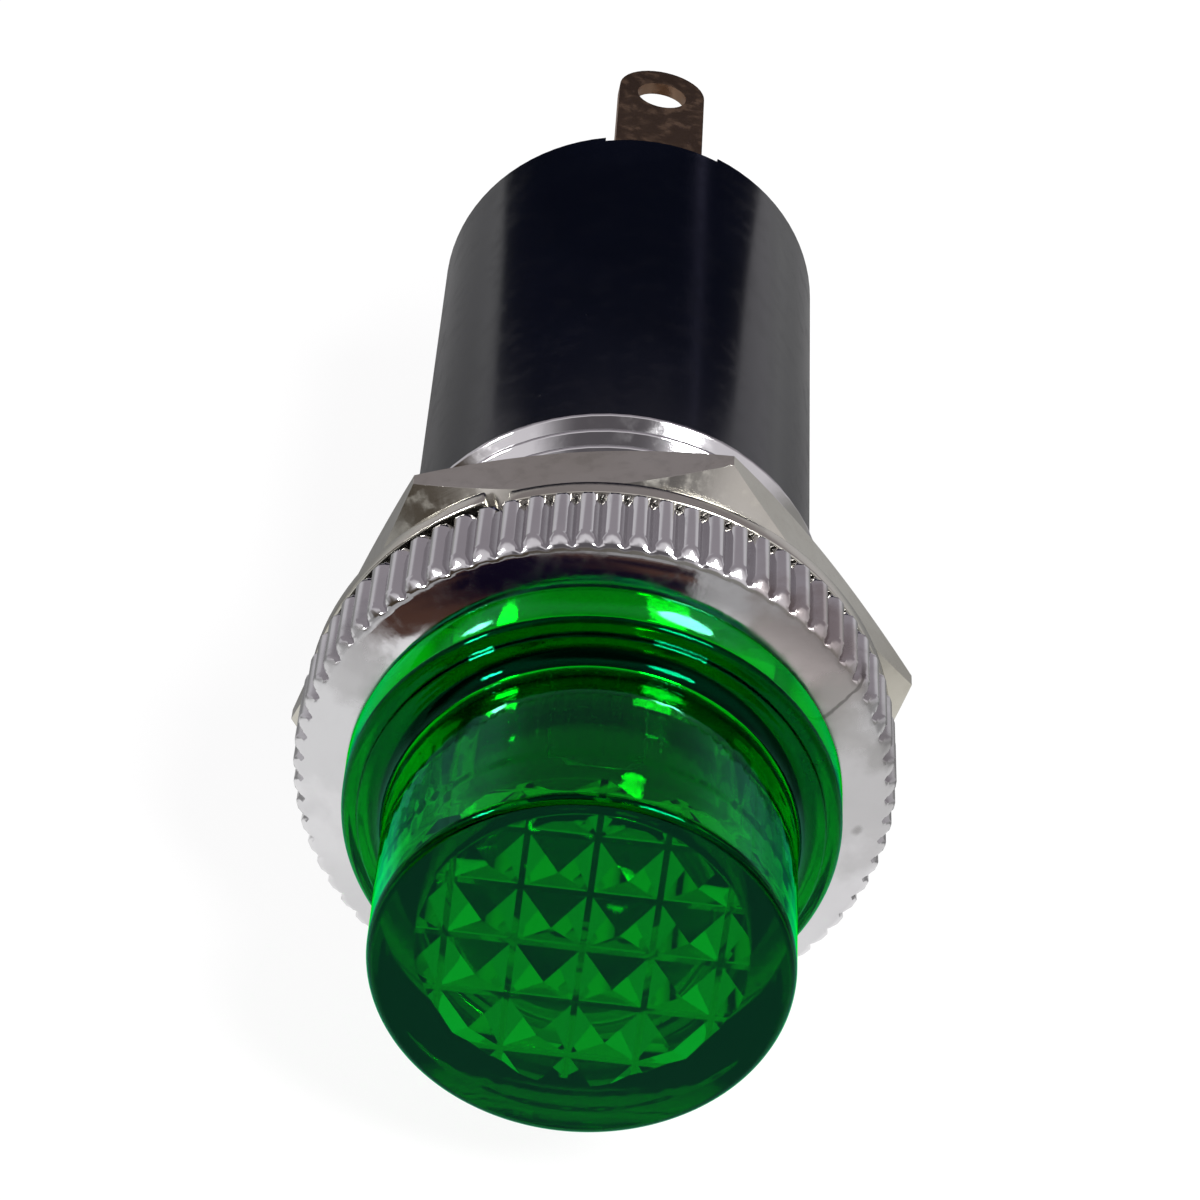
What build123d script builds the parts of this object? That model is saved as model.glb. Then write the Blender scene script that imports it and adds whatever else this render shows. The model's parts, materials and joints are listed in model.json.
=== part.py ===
# Panel pilot light with a green prismatic lens and a bayonet lamp. Lengths are in millimetres.
# The light's axis is Y: the lens faces -Y, the solder lugs stand at the back, above and below the axis on Z.
# The origin is the centre of the face of the head that bears on the panel.

import os
from math import atan2, ceil, degrees, radians, sqrt, tan

from build123d import *

os.makedirs("parts", exist_ok=True)

# Fits shared by several pieces
running_clearance = 0.05
seat_clearance = 0.02
loose_clearance = 0.1
cut_overrun = 1.0

# Head and barrel, turned as one piece; its walls bring the thread to five eighths of an inch over the crests
head_face = 1.45
head_width = 2.95
head_rise = 0.32
head_bulge = 0.05
rim_chamfer = 0.35
knurl_count = 72
knurl_depth = 0.42
barrel_wall = 1.4
barrel_length = 9.3
barrel_chamfer = 0.45
thread_pitch = 25.4 / 24
thread_depth = 0.57
thread_crest = 0.14
thread_root = 0.26
thread_runout = 0.3

# Lens cap: a cup with a flange and a neck that screws into the head
lens_wall = 1.5
lens_front = 1.0
lens_reach = 7.6
lens_edge = 0.3
lens_root = 0.7
flange_overhang = 1.5
flange_thickness = 1.95
flange_edge = 0.3
flange_step_width = 0.55
flange_step_depth = 0.22
neck_wall = 0.95
neck_length = 4.85
prism_pitch = 2.26
prism_height = 1.0
prism_turn = 4.5

# Split lock washer and chamfered nut behind the head
washer_rim = 0.15
washer_clearance = 0.3
washer_thickness = 0.68
washer_rise = 0.42
washer_gap = 0.8
washer_turn = 120.5
nut_wall = 1.6
nut_thickness = 2.8
nut_chamfer_share = 0.475
nut_chamfer_angle = 30
nut_bore_chamfer = 0.3
nut_turn = 16.4

# Black insulating tube that carries the lampholder
tube_wall = 2.28
tube_edge = 0.3
spigot_length = 5.7
tube_mouth_margin = 1.77
tube_recess_wall = 0.85
tube_recess_depth = 1.4
notch_width = 4.5
notch_depth = 0.55

# Bayonet shell, a drawn cup with two hooked slots
shell_wall = 0.35
shell_bottom = 0.4
shell_lead = 0.98
bayonet_turn = 35
bayonet_travel = 1.1

# Terminal plate, collar, rivets and solder lugs at the back
plate_thickness = 1.6
collar_diameter = 6.0
collar_thickness = 0.5
collar_spigot = 4.0
lug_width = 3.5
lug_thickness = 0.5
lug_hole = 2.0
lug_hole_height = 5.85
lug_tip = 0.3
lug_bend = 0.6
lug_rim_gap = 0.4
foot_end = 0.95
rivet_diameter = 1.0
rivet_head = 1.4
rivet_head_height = 0.5
rivet_inset = 0.8
stud_diameter = 1.6
stud_head = 4.4
stud_tail = 2.8

# Sprung centre contact
carrier_thickness = 1.6
button_diameter = 3.0
button_height = 0.8
button_edge = 0.3
stem_diameter = 2.0
spring_seat_diameter = 4.4
spring_seat_height = 0.5
nub_diameter = 2.4
nub_height = 1.5
spring_length = 5.62
spring_wire = 0.45
spring_diameter = 3.7
spring_turns = 5

# Lamp
bulb_diameter = 10.0
bulb_wall = 0.45
bulb_gap = 0.7
bulb_side_gap = 0.5
lamp_length = 27.9
bulb_shoulder = 4.4
bulb_neck = 0.5
base_step = 0.4
base_wall = 0.3
base_length = 8.4
base_lip = 1.4
pin_diameter = 1.9
pin_stand = 0.45
pin_gap = 0.25
pin_height = 6.6
tip_diameter = 3.4
tip_height = 0.6
insulator_rise = 0.8
insulator_depth = 1.0
neck_in_base = 2.5
pinch_width = 5.2
pinch_thickness = 1.8
pinch_length = 4.0
flare_thickness = 1.0
support_wire = 0.3
support_spacing = 3.6
support_length = 15.0
support_gap = 1.1
filament_wire = 0.22
filament_sag = 1.8

# Radii, from the lamp outwards
bulb_radius = bulb_diameter / 2
base_radius = bulb_radius - base_step
base_inner_radius = base_radius - base_wall
neck_radius = base_inner_radius - running_clearance
shell_inner_radius = base_radius + loose_clearance
shell_outer_radius = shell_inner_radius + shell_wall
pin_tip_radius = shell_outer_radius + pin_stand
mouth_radius = pin_tip_radius + pin_gap
tube_bore_radius = shell_outer_radius + seat_clearance
tube_radius = tube_bore_radius + tube_wall
recess_radius = tube_radius - tube_recess_wall
lens_bore_radius = bulb_radius + bulb_side_gap
lens_radius = lens_bore_radius + lens_wall
flange_radius = lens_radius + flange_overhang
bore_radius = lens_bore_radius + neck_wall + running_clearance
barrel_radius = bore_radius + barrel_wall
lens_seat_radius = flange_radius + running_clearance
face_edge_radius = lens_seat_radius + head_face
head_radius = face_edge_radius + rim_chamfer

# Places along the axis, from the lens to the lugs
seat_y = -(head_width + head_rise)
flange_front_y = seat_y - flange_thickness
lens_front_y = flange_front_y - lens_reach
prism_plane_y = lens_front_y + lens_front
bulb_front_y = prism_plane_y + prism_height + bulb_gap
lamp_end_y = bulb_front_y + lamp_length
pin_y = lamp_end_y - pin_height
base_front_y = lamp_end_y - tip_height - insulator_rise - base_length
carrier_front_y = lamp_end_y + button_height
carrier_rear_y = carrier_front_y + carrier_thickness
spring_front_y = carrier_rear_y + spring_seat_height
stud_front_y = spring_front_y + spring_length
collar_front_y = stud_front_y + rivet_head_height
plate_front_y = collar_front_y + collar_thickness + shell_bottom
plate_rear_y = plate_front_y + plate_thickness
tube_rear_y = plate_rear_y + tube_recess_depth
lug_hole_y = tube_rear_y + lug_hole_height
base_rear_y = base_front_y + base_length
insulator_front_y = base_rear_y - base_wall - insulator_depth
nut_front_y = washer_thickness + washer_rise + seat_clearance


# A plane across the axis at y, seen from the front: X to the right and Z up
def across(y):
    return Plane.XZ.offset(-y)


def save(piece, name):
    piece.label = name
    export_step(piece, f"parts/{name}.step")


# Bezel: the knurled head, its domed front face and the barrel
thread_flank = (thread_pitch - thread_crest - thread_root) / 2
thread_mouth = thread_root / 2 + thread_flank * (1 + running_clearance / thread_depth)
face_middle = ((lens_seat_radius + face_edge_radius) / 2, seat_y + head_rise / 2 - head_bulge)
with BuildPart() as bezel:
    with BuildSketch(Plane.XY):
        with BuildLine():
            Line((bore_radius, seat_y), (lens_seat_radius, seat_y))
            ThreePointArc((lens_seat_radius, seat_y), face_middle, (face_edge_radius, -head_width))
            Polyline(
                (face_edge_radius, -head_width),
                (head_radius, rim_chamfer - head_width),
                (head_radius, -rim_chamfer / 2),
                (head_radius - rim_chamfer / 2, 0),
                (barrel_radius, 0),
                (barrel_radius, barrel_length - barrel_chamfer),
                (barrel_radius - barrel_chamfer, barrel_length),
                (bore_radius, barrel_length),
                (bore_radius, seat_y),
            )
        make_face()
    revolve(axis=Axis.Y)
    with BuildSketch(across(cut_overrun)):
        with PolarLocations(head_radius, knurl_count):
            RegularPolygon(knurl_depth, 3, rotation=180)
    extrude(amount=head_width + 2 * cut_overrun, mode=Mode.SUBTRACT)
    with BuildLine():
        thread_path = Helix(
            thread_pitch,
            barrel_length,
            barrel_radius,
            center=(0, thread_runout + thread_pitch / 2, 0),
            direction=(0, 1, 0),
        )
    thread_start = thread_path @ 0
    with BuildSketch(Plane(thread_start, x_dir=(thread_start.X, 0, thread_start.Z), z_dir=thread_path % 0)):
        Polygon(
            (-thread_depth, thread_root / 2),
            (-thread_depth, -thread_root / 2),
            (running_clearance, -thread_mouth),
            (running_clearance, thread_mouth),
            align=None,
        )
    sweep(is_frenet=True, mode=Mode.SUBTRACT)
save(bezel.part, "bezel")

# Lens cap: stepped flange outside, square pits inside the front
neck_radius_outer = bore_radius - running_clearance
step_radius = flange_radius - flange_step_width
step_y = flange_front_y + flange_step_depth
root_start = (lens_radius, flange_front_y - lens_root)
root_end = (lens_radius + lens_root, flange_front_y)
prism_rows = 2 * ceil(lens_bore_radius / prism_pitch - 1 / 2) + 1
ridge = (
    (-prism_pitch / 2, -lens_front / 2),
    (prism_pitch / 2, -lens_front / 2),
    (prism_pitch / 2, 0),
    (0, prism_height),
    (-prism_pitch / 2, 0),
)
with BuildPart() as prisms:
    for quarter in range(2):
        ridge_plane = Plane.XY.rotated((0, quarter * 90 - prism_turn, 0))
        with BuildSketch(ridge_plane.offset(-lens_radius)):
            with Locations((0, prism_plane_y)):
                with GridLocations(prism_pitch, prism_pitch, prism_rows, 1):
                    Polygon(*ridge, align=None)
        extrude(amount=2 * lens_radius)
    with BuildSketch(across(prism_plane_y - lens_front)):
        Circle(lens_bore_radius)
    extrude(amount=-(prism_height + 2 * lens_front), mode=Mode.INTERSECT)
with BuildPart() as lens_cap:
    with BuildSketch(Plane.XY):
        with BuildLine():
            Line((0, prism_plane_y), (0, lens_front_y))
            Line((0, lens_front_y), (lens_radius - lens_edge, lens_front_y))
            JernArc((lens_radius - lens_edge, lens_front_y), (1, 0), lens_edge, 90)
            Line((lens_radius, lens_front_y + lens_edge), root_start)
            JernArc(root_start, (0, 1), lens_root, -90)
            Polyline(root_end, (step_radius, flange_front_y), (step_radius, step_y))
            Line((step_radius, step_y), (flange_radius - flange_edge, step_y))
            JernArc((flange_radius - flange_edge, step_y), (1, 0), flange_edge, 90)
            Polyline(
                (flange_radius, step_y + flange_edge),
                (flange_radius, seat_y),
                (neck_radius_outer, seat_y),
                (neck_radius_outer, seat_y + neck_length),
                (lens_bore_radius, seat_y + neck_length),
                (lens_bore_radius, prism_plane_y),
                (0, prism_plane_y),
            )
        make_face()
    revolve(axis=Axis.Y)
    add(prisms.part)
save(lens_cap.part, "lens_cap")

# Split spring washer: one turn of a flat section, its two ends apart along the axis
washer_inner_radius = barrel_radius + washer_clearance
washer_width = head_radius - washer_rim - washer_inner_radius
washer_middle_radius = washer_inner_radius + washer_width / 2
washer_gap_angle = degrees(washer_gap / washer_middle_radius)
washer_turn_share = 1 - washer_gap_angle / 360
washer_low_y = (seat_clearance + washer_thickness) / 2
with BuildPart() as lock_washer:
    with BuildLine():
        washer_path = Helix(
            washer_rise / washer_turn_share,
            washer_rise,
            washer_middle_radius,
            center=(0, washer_low_y, 0),
            direction=(0, 1, 0),
        )
    washer_out = (washer_path @ 0) - Vector(0, washer_low_y, 0)
    with BuildSketch(Plane(washer_path @ 0, x_dir=washer_out, z_dir=washer_path % 0)):
        Rectangle(washer_width, washer_thickness)
    sweep(is_frenet=True)
washer_start = degrees(atan2(washer_out.Z, washer_out.X))
save(lock_washer.part.rotate(Axis.Y, washer_start + washer_gap_angle / 2 - washer_turn), "lock_washer")

# Hex nut, chamfered on both faces
nut_flats = 2 * (barrel_radius + nut_wall)
nut_corner_radius = nut_flats / sqrt(3)
nut_face_radius = nut_chamfer_share * nut_flats
nut_chamfer_height = (nut_corner_radius - nut_face_radius) * tan(radians(nut_chamfer_angle))
nut_rear_y = nut_front_y + nut_thickness
nut_bore_radius = barrel_radius + running_clearance
with BuildPart() as hex_nut:
    with BuildSketch(across(nut_front_y)):
        RegularPolygon(nut_corner_radius, 6, rotation=nut_turn)
    extrude(amount=-nut_thickness)
    with BuildSketch(Plane.XY):
        Polygon(
            (nut_bore_radius + nut_bore_chamfer, nut_front_y),
            (nut_face_radius, nut_front_y),
            (nut_corner_radius, nut_front_y + nut_chamfer_height),
            (nut_corner_radius, nut_rear_y - nut_chamfer_height),
            (nut_face_radius, nut_rear_y),
            (nut_bore_radius + nut_bore_chamfer, nut_rear_y),
            (nut_bore_radius, nut_rear_y - nut_bore_chamfer),
            (nut_bore_radius, nut_front_y + nut_bore_chamfer),
            align=None,
        )
    revolve(axis=Axis.Y, mode=Mode.INTERSECT)
save(hex_nut.part, "hex_nut")

# Insulating tube: a spigot in the barrel, a wide mouth for the lamp's pins and a recess at the back
spigot_radius = bore_radius - seat_clearance
mouth_front_y = barrel_length - spigot_length
pin_radius = pin_diameter / 2
mouth_rear_y = pin_y + pin_radius + bayonet_travel + tube_mouth_margin
with BuildPart() as tube:
    with BuildSketch(Plane.XY):
        Polygon(
            (mouth_radius, mouth_front_y),
            (spigot_radius, mouth_front_y),
            (spigot_radius, barrel_length),
            (tube_radius, barrel_length),
            (tube_radius, tube_rear_y - tube_edge),
            (tube_radius - tube_edge, tube_rear_y),
            (recess_radius, tube_rear_y),
            (recess_radius, plate_front_y),
            (tube_bore_radius, plate_front_y),
            (tube_bore_radius, mouth_rear_y),
            (mouth_radius, mouth_rear_y),
            align=None,
        )
    revolve(axis=Axis.Y)
    with BuildSketch(across(tube_rear_y)):
        Rectangle(notch_width, 2 * tube_radius)
    extrude(amount=notch_depth, mode=Mode.SUBTRACT)
save(tube.part, "insulating_tube")

# Terminal plate pressed into the recess, with a hole for each rivet
rivet_place = shell_inner_radius - rivet_inset
with BuildPart() as terminal_plate:
    with BuildSketch(across(plate_front_y)):
        Circle(recess_radius - seat_clearance)
        Circle(stud_diameter / 2 + seat_clearance, mode=Mode.SUBTRACT)
        with Locations((0, rivet_place)):
            Circle(rivet_diameter / 2 + seat_clearance, mode=Mode.SUBTRACT)
    extrude(amount=-plate_thickness)
save(terminal_plate.part, "terminal_plate")

# Bayonet shell: the pins rest in short hooks, a part turn away from the way in
shell_front_y = base_front_y - shell_lead
shell_length = plate_front_y - shell_front_y
slot_half_width = pin_radius + loose_clearance
slot_half_angle = degrees(slot_half_width / shell_inner_radius)
slot_rear_y = pin_y + bayonet_travel + slot_half_width
slot_cross_y = slot_rear_y - 2 * slot_half_width
hook_front_y = pin_y - pin_radius - seat_clearance
slot_legs = (
    (bayonet_turn - slot_half_angle, 2 * slot_half_angle, shell_front_y - cut_overrun),
    (-slot_half_angle, bayonet_turn + 2 * slot_half_angle, slot_cross_y),
    (-slot_half_angle, 2 * slot_half_angle, hook_front_y),
)
with BuildPart() as bayonet_shell:
    with BuildSketch(across(shell_front_y)):
        Circle(shell_outer_radius)
    extrude(amount=-shell_length)
    with BuildSketch(across(shell_front_y)):
        Circle(shell_inner_radius)
    extrude(amount=shell_bottom - shell_length, mode=Mode.SUBTRACT)
    with BuildSketch(across(plate_front_y)):
        Circle(collar_spigot / 2 + seat_clearance)
        with Locations((0, rivet_place)):
            Circle(rivet_diameter / 2 + seat_clearance)
    extrude(amount=2 * shell_bottom, both=True, mode=Mode.SUBTRACT)
    for side in range(2):
        for start_angle, sweep_angle, leg_front_y in slot_legs:
            slot_plane = Plane.XY.rotated((0, 180 * side + start_angle, 0))
            with BuildSketch(slot_plane):
                with Locations((shell_inner_radius - cut_overrun, leg_front_y)):
                    Rectangle(
                        shell_wall + 2 * cut_overrun,
                        slot_rear_y - leg_front_y,
                        align=(Align.MIN, Align.MIN),
                    )
            revolve(axis=Axis.Y, revolution_arc=sweep_angle, mode=Mode.SUBTRACT)
save(bayonet_shell.part, "bayonet_shell")

# Insulating collar that keeps the centre stud clear of the shell
with BuildPart() as stud_collar:
    with BuildSketch(across(collar_front_y)):
        Circle(collar_diameter / 2)
    extrude(amount=-collar_thickness)
    with BuildSketch(across(collar_front_y + collar_thickness)):
        Circle(collar_spigot / 2)
    extrude(amount=-shell_bottom)
    with BuildSketch(across(collar_front_y)):
        Circle(stud_diameter / 2 + seat_clearance)
    extrude(amount=-(collar_thickness + shell_bottom), mode=Mode.SUBTRACT)
save(stud_collar.part, "stud_collar")

# Rivets: a wide-headed stud on the axis and a small rivet that ties the shell to its lug
rear_head_y = plate_rear_y + lug_thickness
with BuildPart() as centre_stud:
    with BuildSketch(across(stud_front_y)):
        Circle(stud_head / 2)
    extrude(amount=-rivet_head_height)
    with BuildSketch(across(stud_front_y)):
        Circle(stud_diameter / 2)
    extrude(amount=stud_front_y - rear_head_y)
    with BuildSketch(across(rear_head_y)):
        Circle(stud_tail / 2)
    extrude(amount=-rivet_head_height)
    stud_rim = centre_stud.faces().sort_by(Axis.Y)[-1].edges()
    chamfer(stud_rim, rivet_head_height / 2)
save(centre_stud.part, "centre_stud")

with BuildPart() as shell_rivet:
    with BuildSketch(across(plate_front_y - shell_bottom)):
        with Locations((0, rivet_place)):
            Circle(rivet_head / 2)
    extrude(amount=rivet_head_height)
    with BuildSketch(across(plate_front_y - shell_bottom)):
        with Locations((0, rivet_place)):
            Circle(rivet_diameter / 2)
    extrude(amount=-(shell_bottom + plate_thickness + lug_thickness))
    with BuildSketch(across(rear_head_y)):
        with Locations((0, rivet_place)):
            Circle(rivet_head / 2 + rivet_head_height / 4)
    extrude(amount=-rivet_head_height)
    rivet_rim = shell_rivet.faces().sort_by(Axis.Y)[-1].edges()
    chamfer(rivet_rim, rivet_head_height / 2)
save(shell_rivet.part, "shell_rivet")

# Solder lugs: a riveted foot, a bend and a blade with a wire hole, one each side of the axis
lug_half = lug_width / 2
lug_offset = recess_radius - lug_rim_gap
foot_starts = (rivet_place - foot_end - rivet_diameter / 2, -foot_end - stud_diameter / 2)
rivet_places = (rivet_place, 0)
rivet_radii = (rivet_diameter / 2, stud_diameter / 2)
for name, turn, foot_start, hole_place, hole_radius in zip(
    ("shell_lug", "centre_lug"), (0, 180), foot_starts, rivet_places, rivet_radii
):
    with BuildPart() as lug:
        with BuildSketch(Plane.YZ):
            with BuildLine():
                Line((plate_rear_y, foot_start), (plate_rear_y, lug_offset - lug_bend))
                JernArc((plate_rear_y, lug_offset - lug_bend), (0, 1), lug_bend, -90)
                Polyline(
                    (plate_rear_y + lug_bend, lug_offset),
                    (lug_hole_y + lug_tip, lug_offset),
                    (lug_hole_y + lug_tip, lug_offset - lug_thickness),
                    (plate_rear_y + lug_bend, lug_offset - lug_thickness),
                )
                JernArc(
                    (plate_rear_y + lug_bend, lug_offset - lug_thickness), (-1, 0), lug_bend - lug_thickness, 90
                )
                Polyline(
                    (plate_rear_y + lug_thickness, lug_offset - lug_bend),
                    (plate_rear_y + lug_thickness, foot_start),
                    (plate_rear_y, foot_start),
                )
            make_face()
        extrude(amount=lug_half, both=True)
        with BuildSketch(Plane.XY.offset(lug_offset)):
            with Locations((0, lug_hole_y + lug_tip)):
                Circle(lug_half)
        extrude(amount=-lug_thickness)
        with BuildSketch(Plane.XY.offset(lug_offset)):
            with Locations((0, lug_hole_y)):
                Circle(lug_hole / 2)
        extrude(amount=-lug_thickness, mode=Mode.SUBTRACT)
        with BuildSketch(across(plate_rear_y)):
            with Locations((0, hole_place)):
                Circle(hole_radius + seat_clearance)
        extrude(amount=-lug_thickness, mode=Mode.SUBTRACT)
    save(lug.part.rotate(Axis.Y, turn), name)

# Contact carrier: an insulating disc that slides in the shell
with BuildPart() as contact_carrier:
    with BuildSketch(across(carrier_front_y)):
        Circle(shell_inner_radius - running_clearance)
        Circle(stem_diameter / 2 + seat_clearance, mode=Mode.SUBTRACT)
    extrude(amount=-carrier_thickness)
save(contact_carrier.part, "contact_carrier")

# Centre contact: a button, a stem through the carrier and a seat for the spring
button_radius = button_diameter / 2
with BuildPart() as centre_contact:
    with BuildSketch(Plane.XY):
        Polygon(
            (0, lamp_end_y),
            (button_radius - button_edge, lamp_end_y),
            (button_radius, lamp_end_y + button_edge),
            (button_radius, carrier_front_y),
            (stem_diameter / 2, carrier_front_y),
            (stem_diameter / 2, carrier_rear_y),
            (spring_seat_diameter / 2, carrier_rear_y),
            (spring_seat_diameter / 2, spring_front_y),
            (nub_diameter / 2, spring_front_y),
            (nub_diameter / 2, spring_front_y + nub_height - button_edge),
            (nub_diameter / 2 - button_edge, spring_front_y + nub_height),
            (0, spring_front_y + nub_height),
            align=None,
        )
    revolve(axis=Axis.Y)
save(centre_contact.part, "centre_contact")

# Contact spring, from the seat behind the carrier to the head of the centre stud
spring_rise = spring_length - spring_wire - 2 * seat_clearance
spring_low_y = spring_front_y + seat_clearance + spring_wire / 2
with BuildPart() as contact_spring:
    with BuildLine():
        spring_path = Helix(
            spring_rise / spring_turns,
            spring_rise,
            spring_diameter / 2,
            center=(0, spring_low_y, 0),
            direction=(0, 1, 0),
        )
    with BuildSketch(Plane(spring_path @ 0, z_dir=spring_path % 0)):
        RegularPolygon(spring_wire / 2, 6)
    sweep(is_frenet=True)
save(contact_spring.part, "contact_spring")

# Lamp envelope: a blown bulb, open at the neck
shoulder_end_y = base_front_y - bulb_neck
shoulder_start_y = shoulder_end_y - bulb_shoulder
neck_end_y = base_front_y + neck_in_base
inner_bulb_radius = bulb_radius - bulb_wall
inner_neck_radius = neck_radius - bulb_wall
shoulder_middle_y = (shoulder_start_y + shoulder_end_y) / 2
with BuildPart() as lamp_envelope:
    with BuildSketch(Plane.XY):
        with BuildLine():
            JernArc((0, bulb_front_y), (1, 0), bulb_radius, 90)
            Line((bulb_radius, bulb_front_y + bulb_radius), (bulb_radius, shoulder_start_y))
            Spline(
                (bulb_radius, shoulder_start_y),
                ((bulb_radius + neck_radius) / 2, shoulder_middle_y),
                (neck_radius, shoulder_end_y),
                tangents=((0, 1), (0, 1)),
            )
            Polyline(
                (neck_radius, shoulder_end_y),
                (neck_radius, neck_end_y),
                (inner_neck_radius, neck_end_y),
                (inner_neck_radius, shoulder_end_y),
            )
            Spline(
                (inner_neck_radius, shoulder_end_y),
                ((inner_bulb_radius + inner_neck_radius) / 2, shoulder_middle_y),
                (inner_bulb_radius, shoulder_start_y),
                tangents=((0, -1), (0, -1)),
            )
            Line((inner_bulb_radius, shoulder_start_y), (inner_bulb_radius, bulb_front_y + bulb_radius))
            JernArc((inner_bulb_radius, bulb_front_y + bulb_radius), (0, -1), inner_bulb_radius, -90)
            Line((0, bulb_front_y + bulb_wall), (0, bulb_front_y))
        make_face()
    revolve(axis=Axis.Y)
save(lamp_envelope.part, "lamp_envelope")

# Lamp stem: a glass pinch on a flare, with a channel for each support wire
flare_front_y = neck_end_y - flare_thickness
pinch_front_y = flare_front_y - pinch_length
with BuildPart() as lamp_stem:
    with BuildSketch(across(flare_front_y)):
        Circle(inner_neck_radius - seat_clearance)
    extrude(amount=-flare_thickness)
    with BuildSketch(across(flare_front_y)):
        SlotOverall(pinch_width, pinch_thickness)
    extrude(amount=pinch_length)
    with BuildSketch(across(neck_end_y)):
        with GridLocations(support_spacing, 0, 2, 1):
            Circle(support_wire / 2 + seat_clearance)
    extrude(amount=flare_thickness + pinch_length, mode=Mode.SUBTRACT)
save(lamp_stem.part, "lamp_stem")

# Support wires, from the base through the stem to the filament
support_tip_y = insulator_front_y - support_gap - support_length
for side, name in ((-1, "lamp_support_left"), (1, "lamp_support_right")):
    with BuildPart() as lamp_support:
        with BuildSketch(across(support_tip_y)):
            with Locations((side * support_spacing / 2, 0)):
                Circle(support_wire / 2)
        extrude(amount=-support_length)
    save(lamp_support.part, name)

# Filament, an arched wire between the two supports
filament_y = support_tip_y - seat_clearance
with BuildPart() as lamp_filament:
    with BuildLine():
        filament_path = ThreePointArc(
            (-support_spacing / 2, filament_y), (0, filament_y - filament_sag), (support_spacing / 2, filament_y)
        )
    with BuildSketch(Plane(filament_path @ 0, z_dir=filament_path % 0)):
        Circle(filament_wire / 2)
    sweep()
save(lamp_filament.part, "lamp_filament")

# Lamp base: a brass shell with a turned-in lip and a hole for each pin
with BuildPart() as lamp_base:
    with BuildSketch(Plane.XY):
        Polygon(
            (base_inner_radius, base_front_y),
            (base_radius, base_front_y),
            (base_radius, base_rear_y),
            (base_radius - base_lip, base_rear_y),
            (base_radius - base_lip, base_rear_y - base_wall),
            (base_inner_radius, base_rear_y - base_wall),
            align=None,
        )
    revolve(axis=Axis.Y)
    with BuildSketch(Plane.YZ):
        with Locations((pin_y, 0)):
            Circle(pin_radius)
    extrude(amount=2 * base_radius, both=True, mode=Mode.SUBTRACT)
save(lamp_base.part, "lamp_base")

# Bayonet pins, one each side of the base
for side, name in ((-1, "lamp_pin_left"), (1, "lamp_pin_right")):
    with BuildPart() as lamp_pin:
        with BuildSketch(Plane.YZ.offset(side * base_inner_radius)):
            with Locations((pin_y, 0)):
                Circle(pin_radius - seat_clearance)
        extrude(amount=side * (pin_tip_radius - base_inner_radius))
    save(lamp_pin.part, name)

# Glass insulator and the solder contact at the lamp's end
insulator_radius = base_inner_radius - seat_clearance
insulator_tip_y = base_rear_y + insulator_rise
stem_hole_radius = support_wire
with BuildPart() as lamp_insulator:
    with BuildSketch(Plane.XY):
        Polygon(
            (stem_hole_radius + seat_clearance, insulator_front_y),
            (insulator_radius, insulator_front_y),
            (insulator_radius, base_rear_y - base_wall - seat_clearance),
            (base_radius - base_lip - seat_clearance, base_rear_y - base_wall - seat_clearance),
            (base_radius - base_lip - seat_clearance, base_rear_y),
            (tip_diameter / 2, insulator_tip_y),
            (stem_hole_radius + seat_clearance, insulator_tip_y),
            align=None,
        )
    revolve(axis=Axis.Y)
save(lamp_insulator.part, "lamp_insulator")

tip_radius = tip_diameter / 2
tip_sphere = (tip_radius**2 + tip_height**2) / (2 * tip_height)
tip_middle = (tip_radius / 2, lamp_end_y - tip_sphere + sqrt(tip_sphere**2 - tip_radius**2 / 4))
with BuildPart() as lamp_tip:
    with BuildSketch(Plane.XY):
        with BuildLine():
            Polyline(
                (0, lamp_end_y),
                (0, insulator_front_y),
                (stem_hole_radius, insulator_front_y),
                (stem_hole_radius, insulator_tip_y),
                (tip_radius, insulator_tip_y),
            )
            ThreePointArc((tip_radius, insulator_tip_y), tip_middle, (0, lamp_end_y))
        make_face()
    revolve(axis=Axis.Y)
save(lamp_tip.part, "lamp_tip")
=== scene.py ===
import json
from math import cos, hypot, pi, radians, sin, sqrt, tan

import bmesh
import bpy
from mathutils import Matrix, Vector


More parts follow.
